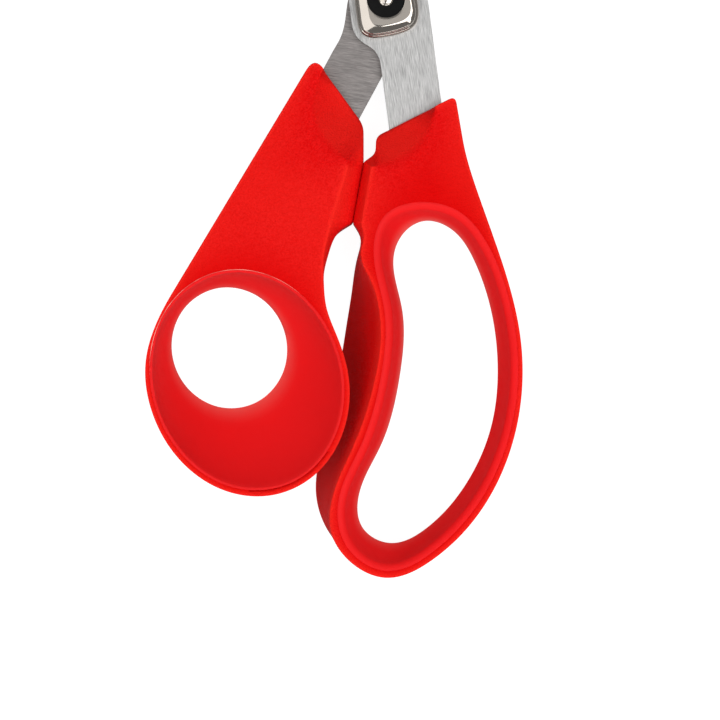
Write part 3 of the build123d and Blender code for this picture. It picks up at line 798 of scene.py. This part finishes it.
def liner_mesh(name, boundary, waist, rear_rim, rear_boundary, waist_depth,
               bow, lip, drop, glow, fade, pale_side=(0.0, 0.0)):
    """One gel liner: rounded front lip, inner wall down to the waist, flare to the rear.
    bow is how far the wall hollows, lip and drop how far in and how far down the rounding of the
    front lip goes, glow how pale that lip is, and fade where the wall starts to pale towards the
    waist. This paleness is painted light, a glow of light coming through the thin gel. The sides of
    the loop that face away from pale_side pale less."""
    z_waist = Z_FRONT - waist_depth
    rails = [
        lift(boundary, Z_FRONT - GEL_GROOVE),
        lift(inward(boundary, GEL_LAND / 2), Z_FRONT - GEL_GROOVE * LAND_SINK),
    ]
    # thin collects, rail by rail, how pale the painted glow of light through the gel makes it
    thin = [0.0, PALE_LAND]
    for i in range(LIP_STEPS + 1):
        a = LIP_TURN * i / LIP_STEPS
        into, down = sin(a) / sin(LIP_TURN), (1 - cos(a)) / (1 - cos(LIP_TURN))
        ring = inward(boundary, GEL_LAND + lip * into * LIP_SPAN)
        rails.append(lift(ring, Z_FRONT - drop * down))
        thin.append(glow * into * (1 - GLOW_FADE * i / LIP_STEPS) + PALE_LIP)
    wall = inward(boundary, GEL_LAND + lip)
    for t in np.arange(1, WALL_STEPS + 1) / WALL_STEPS:
        ring = wall + (waist - wall) * t
        swell = bow * 4 * t * (1 - t)
        rails.append(lift(inward(ring, -swell), Z_FRONT - drop - (waist_depth - drop) * t))
        thin.append(PALE_WAIST * max(0.0, (t - fade) / (1 - fade)) ** 2)
    for t in np.arange(1, FLARE_STEPS + 1) / FLARE_STEPS:
        eased = t * t * (FLARE_START - (FLARE_START - 1) * t)
        rails.append(lift(waist + (rear_rim - waist) * eased, z_waist + (Z_REAR - z_waist) * t))
        thin.append(PALE_FLARE * (1 - t) ** 2 + PALE_REAR)
    rails.append(lift(rear_boundary, Z_REAR))
    thin.append(PALE_REAR)
    obj = skin(name, rails)
    away = boundary - boundary.mean(axis=0)
    away /= np.linalg.norm(away, axis=1)[:, None]
    share = np.clip(GEL_PALENESS + away @ np.array(pale_side), 0, 1)
    values = nearest_values(points_of(obj), np.concatenate(rails), np.outer(thin, share).ravel())
    point_value(obj, "thin_edge", values)
    return obj


# ---- cover ------------------------------------------------------------------------------------


def cover_ring(inset):
    """The cover's rounded shield at one inset, as points on rays from the pivot."""
    high = [(x, -y) for x, y in reversed(COVER_EDGE[1:-1])]
    ring = inward(spline(COVER_EDGE + high, COVER_STEPS, closed=True), inset)
    turn = np.unwrap(np.arctan2(ring[:, 1], ring[:, 0]))
    if turn[-1] < turn[0]:
        turn, ring = turn[::-1], ring[::-1]
    want = np.linspace(0, 2 * pi, RING_POINTS, endpoint=False)
    all_turns = np.concatenate([turn - 2 * pi, turn, turn + 2 * pi])
    at = np.interp(want, all_turns, np.tile(np.linalg.norm(ring, axis=1), 3))
    return np.stack([np.cos(want) * at, np.sin(want) * at], axis=1)


def circle(radius):
    t = np.linspace(0, 2 * pi, RING_POINTS, endpoint=False)
    return np.stack([np.cos(t), np.sin(t)], axis=1) * radius


# ---- settings ---------------------------------------------------------------------------------


class SnipsSizes(bpy.types.PropertyGroup):
    """Roundings of the moulded parts"""
    edge_soft: bpy.props.FloatProperty(
        name="Edge", description="How far a rounded outer edge runs from its corner",
        default=0.0006, min=0.0, unit="LENGTH")
    crease_soft: bpy.props.FloatProperty(
        name="Crease", description="How far the crease round the mouth is blended",
        default=0.0018, min=0.0, unit="LENGTH")
    lip_soft: bpy.props.FloatProperty(
        name="Lip", description="How far the mouth's lip is rounded",
        default=0.0011, min=0.0, unit="LENGTH")
    gel_lip: bpy.props.FloatProperty(
        name="Gel lip", description="Radius of the rounded rim of the finger loop's gel",
        default=0.0011, min=0.0005, unit="LENGTH")


class SnipsLooks(bpy.types.PropertyGroup):
    """Colours of the finishes"""
    shell_red: bpy.props.FloatVectorProperty(
        name="Hard plastic", description="Both handles", subtype="COLOR", size=3, min=0, max=1,
        default=(0.82, 0.0006, 0.0006))
    # painted highlight colour for the plastic's edges and mouths
    shell_highlight: bpy.props.FloatVectorProperty(
        name="Highlit edge", description="Hard plastic along its rubbed edges", subtype="COLOR",
        size=3, min=0, max=1, default=(1.0, 0.022, 0.014))
    gel_red: bpy.props.FloatVectorProperty(
        name="Gel", description="Gel liner", subtype="COLOR", size=3, min=0, max=1,
        default=(0.84, 0.010, 0.012))
    gel_edge: bpy.props.FloatVectorProperty(
        name="Gel edge", description="Gel where it is thin and lets light through", subtype="COLOR",
        size=3, min=0, max=1, default=(0.80, 0.16, 0.14))
    steel_tint: bpy.props.FloatVectorProperty(
        name="Steel", description="Ground blades", subtype="COLOR", size=3, min=0, max=1,
        default=(0.435, 0.432, 0.427))
    chrome_tint: bpy.props.FloatVectorProperty(
        name="Chrome", description="Pivot cover", subtype="COLOR", size=3, min=0, max=1,
        default=(0.52, 0.475, 0.425))


class SnipsStage(bpy.types.PropertyGroup):
    """Floor, lights and camera"""
    floor_size: bpy.props.FloatProperty(
        name="Floor", description="Side of the square floor", default=6.0, min=1.0, unit="LENGTH")
    key_power: bpy.props.FloatProperty(
        name="Key", description="Power of the large soft light overhead", default=10.2, min=0.0,
        unit="POWER")
    lens: bpy.props.FloatProperty(
        name="Lens", description="Focal length of the camera in millimetres", default=200.0,
        min=20.0)
    view_width: bpy.props.FloatProperty(
        name="View", description="Width of what the camera sees at the handles", default=0.1656,
        min=0.01, unit="LENGTH")
    view_roll: bpy.props.FloatProperty(
        name="Roll", description="How far the blades lean to the left in the view",
        default=radians(7.5), subtype="ANGLE")


# ---- operators --------------------------------------------------------------------------------


class SNIPS_OT_handles(bpy.types.Operator):
    """Build both hard plastic handles"""
    bl_idname = "snips.handles"
    bl_label = "Handles"

    def execute(self, context):
        sizes, looks = context.scene.snips_sizes, context.scene.snips_looks
        thumb_lip = Z_FRONT_BLADE + MOUTH_COVER + THUMB_LIP_EXTRA
        gel_front, gel_rear = oval_ring(THUMB_GEL_OVAL), oval_ring(THUMB_GEL_REAR)
        thumb = handle_mesh(
            "thumb_shell", *thumb_outlines(), gel_front, gel_rear, thumb_lip, sizes)
        finger_lip = Z_DECK + MOUTH_COVER
        gel_front, gel_rear = closed_ring(FINGER_GEL_FRONT), closed_ring(FINGER_GEL_REAR)
        finger = handle_mesh(
            "finger_shell", *finger_outlines(), gel_front, gel_rear, finger_lip, sizes)
        for obj, body, node, eye in ((thumb, "thumb_side", "thumb_handle", THUMB_GEL_OVAL),
                                     (finger, "finger_side", "finger_handle", FINGER_GEL_EYE)):
            paint(obj, shell_plastic(looks, obj.name + "_plastic", eye))
            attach(obj, body)
            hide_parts(node)
        return {"FINISHED"}


class SNIPS_OT_liners(bpy.types.Operator):
    """Build both gel liners, and the thin flash round the thumb's one"""
    bl_idname = "snips.liners"
    bl_label = "Gel liners"

    def execute(self, context):
        sizes, looks = context.scene.snips_sizes, context.scene.snips_looks
        gel = gel_rubber(looks)
        thumb = liner_mesh(
            "thumb_liner", oval_ring(THUMB_GEL_OVAL), oval_ring(THUMB_HOLE),
            oval_ring(THUMB_HOLE, WAIST_FLARE), oval_ring(THUMB_GEL_REAR), THUMB_WAIST_DEPTH,
            bow=1.1, lip=0.45, drop=0.12, glow=0.03, fade=0.8)
        rear_boundary = closed_ring(FINGER_GEL_REAR)
        finger = liner_mesh(
            "finger_liner", closed_ring(FINGER_GEL_FRONT), closed_ring(FINGER_OPENING),
            inward(rear_boundary, FINGER_REAR_GEL), rear_boundary, FINGER_WAIST_DEPTH,
            bow=0.15, lip=sizes.gel_lip * 1.45 / MM, drop=sizes.gel_lip * 0.84 / MM,
            glow=0.0, fade=0.5, pale_side=(-0.6, 0.5))
        for obj, body, node in ((thumb, "thumb_side", "thumb_grip"),
                                (finger, "finger_side", "finger_grip")):
            paint(obj, gel)
            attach(obj, body)
            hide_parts(node)
        self.make_flash(looks)
        return {"FINISHED"}

    def make_flash(self, looks):
        arc = oval(turns=np.linspace(*FLASH_TURNS, FLASH_POINTS), **THUMB_GEL_OVAL)
        curve = bpy.data.curves.new("thumb_flash", "CURVE")
        curve.dimensions = "3D"
        curve.bevel_depth = FLASH_RADIUS * MM
        curve.bevel_resolution = 3
        line = curve.splines.new("POLY")
        line.points.add(len(arc) - 1)
        for point, (x, y) in zip(line.points, arc):
            point.co = (x * MM, y * MM, (Z_FRONT - FLASH_SINK) * MM, 1.0)
        for i in range(FLASH_TAPER):
            line.points[i].radius = line.points[-1 - i].radius = i / FLASH_TAPER
        obj = bpy.data.objects.new("thumb_flash", curve)
        bpy.context.scene.collection.objects.link(obj)
        curve.materials.append(gel_flash(looks))
        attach(obj, "thumb_side")


class SNIPS_OT_cover(bpy.types.Operator):
    """Build the chromed cover over the pivot nut"""
    bl_idname = "snips.cover"
    bl_label = "Pivot cover"

    def execute(self, context):
        looks = context.scene.snips_looks
        top = Z_COVER_TOP
        plateau = cover_ring(0.0) * PLATEAU_SCALE + np.array([PLATEAU_SHIFT, 0.0])
        stack = [lift(cover_ring(0.0), Z_DECK)]
        stack += [lift(cover_ring(inset), top - depth) for inset, depth in COVER_TIERS]
        stack += [
            lift(plateau, top),
            lift(circle(DISC_RADIUS), top),
            lift(circle(DISC_RADIUS), Z_DISC_FLOOR),
            lift(circle(BOSS_RADIUS), Z_DISC_FLOOR),
        ]
        stack += [lift(circle(BOSS_RADIUS * share), top - depth) for share, depth in BOSS_TIERS]
        obj = skin("cover_cap", soften(stack, COVER_ROUNDING), wrap=False, caps=(0, -1))
        weigh_normals(obj)
        paint(obj, bright_chrome(looks))
        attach(obj, "finger_side")
        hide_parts("pivot_cover")
        paint(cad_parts["cover_disc"], black_enamel())
        return {"FINISHED"}


class SNIPS_OT_steel(bpy.types.Operator):
    """Finish the blades and the pivot hardware"""
    bl_idname = "snips.steel"
    bl_label = "Blades and pivot"

    def execute(self, context):
        tint = tuple(context.scene.snips_looks.steel_tint)
        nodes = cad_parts
        paint(nodes["front_blade"], brushed_steel("steel_front", tint, turn=0.0))
        # painted shade: the rear blade takes the front blade's steel, darkened
        shaded_tint = tuple(c * share for c, share in zip(tint, REAR_STEEL_SHADE))
        paint(nodes["rear_blade"], brushed_steel("steel_rear", shaded_tint, turn=REAR_GRIND))
        plated = brushed_steel("steel_plated", shade(tint, PLATED), turn=0.4, stretch=0.6,
                               grain_scale=1200.0, spread=0.05, rough=0.28)
        for name in ("pivot_bolt", "thrust_washer", "spring_washer", "lock_nut"):
            paint(nodes[name], plated)
        return {"FINISHED"}


class SNIPS_OT_stage(bpy.types.Operator):
    """Lay the floor, hang the soft lights and set the camera"""
    bl_idname = "snips.stage"
    bl_label = "Stage"

    def execute(self, context):
        scene, stage = context.scene, context.scene.snips_stage
        self.lay_floor(stage)
        self.hang_lights(scene, stage)
        self.set_camera(scene, stage)
        return {"FINISHED"}

    def lay_floor(self, stage):
        half = stage.floor_size / 2
        z = cad_box[0].z - FLOOR_GAP
        mesh = bpy.data.meshes.new("floor")
        mesh.from_pydata([(-half, -half, z), (half, -half, z), (half, half, z), (-half, half, z)],
                         [], [(0, 1, 2, 3)])
        floor = bpy.data.objects.new("floor", mesh)
        bpy.context.scene.collection.objects.link(floor)
        mat, tree, shader = new_material("floor_paper")
        grain = place_grain(tree, 400.0, 3.0)
        slow = ranged(tree, grain.outputs["Patch"], 0.3, 0.7, 0.0, 1.0)
        tree.links.new(mixed(tree, slow, FLOOR_DARK, FLOOR_PALE), shader.inputs["Base Color"])
        shader.inputs["Roughness"].default_value = 0.9
        shader.inputs["Specular IOR Level"].default_value = 0.1
        shader.inputs["Emission Color"].default_value = WHITE
        path = add(tree, "ShaderNodeLightPath")
        to_camera = path.outputs["Is Camera Ray"]
        glow = ranged(tree, to_camera, 0.0, 1.0, FLOOR_BOUNCE, FLOOR_GLOW)
        tree.links.new(glow, shader.inputs["Emission Strength"])
        mesh.materials.append(mat)

    def hang_lights(self, scene, stage):
        world = bpy.data.worlds.new("studio")
        scene.world = world
        world.use_nodes = True
        sky = world.node_tree.nodes["Background"]
        sky.inputs["Color"].default_value = WHITE
        sky.inputs["Strength"].default_value = WORLD_STRENGTH
        look_at = Vector(LIGHT_CENTRE)
        for name, where, size, share in LIGHTS:
            data = bpy.data.lights.new(name, "AREA")
            data.shape = "RECTANGLE"
            data.size, data.size_y = size
            data.energy = stage.key_power * share
            lamp = bpy.data.objects.new(name, data)
            lamp.location = where
            lamp.rotation_euler = (look_at - Vector(where)).to_track_quat("-Z", "Y").to_euler()
            scene.collection.objects.link(lamp)
        scene.view_settings.view_transform = "Standard"

    def set_camera(self, scene, stage):
        data = bpy.data.cameras.new("camera")
        data.lens = stage.lens
        data.sensor_width = SENSOR_WIDTH
        data.clip_end = 20.0
        camera = bpy.data.objects.new("camera", data)
        away = stage.view_width * stage.lens / data.sensor_width
        camera.location = (*VIEW_CENTRE, Z_FRONT * MM + away)
        camera.rotation_euler = (0.0, 0.0, -stage.view_roll)
        scene.collection.objects.link(camera)
        scene.camera = camera


class SNIPS_PT_panel(bpy.types.Panel):
    bl_idname = "SNIPS_PT_panel"
    bl_label = "Floral snips"
    bl_space_type = "VIEW_3D"
    bl_region_type = "UI"
    bl_category = "Snips"

    def draw(self, context):
        layout = self.layout
        for name, _ in GROUPS:
            group, box = getattr(context.scene, name), layout.box()
            for prop in group.bl_rna.properties:
                if prop.identifier not in ("rna_type", "name"):
                    box.prop(group, prop.identifier)
        for operator in OPERATORS:
            layout.operator(operator.bl_idname)


GROUPS = (
    ("snips_sizes", SnipsSizes),
    ("snips_looks", SnipsLooks),
    ("snips_stage", SnipsStage),
)
OPERATORS = (SNIPS_OT_handles, SNIPS_OT_liners, SNIPS_OT_cover, SNIPS_OT_steel, SNIPS_OT_stage)


def register():
    for name, group in GROUPS:
        bpy.utils.register_class(group)
        setattr(bpy.types.Scene, name, bpy.props.PointerProperty(type=group))
    for cls in (*OPERATORS, SNIPS_PT_panel):
        bpy.utils.register_class(cls)


def unregister():
    for cls in (SNIPS_PT_panel, *reversed(OPERATORS)):
        bpy.utils.unregister_class(cls)
    for name, group in reversed(GROUPS):
        delattr(bpy.types.Scene, name)
        bpy.utils.unregister_class(group)


def main():
    register()
    for name in ("handles", "liners", "cover", "steel", "stage"):
        getattr(bpy.ops.snips, name)()


if __name__ == "__main__":
    main()
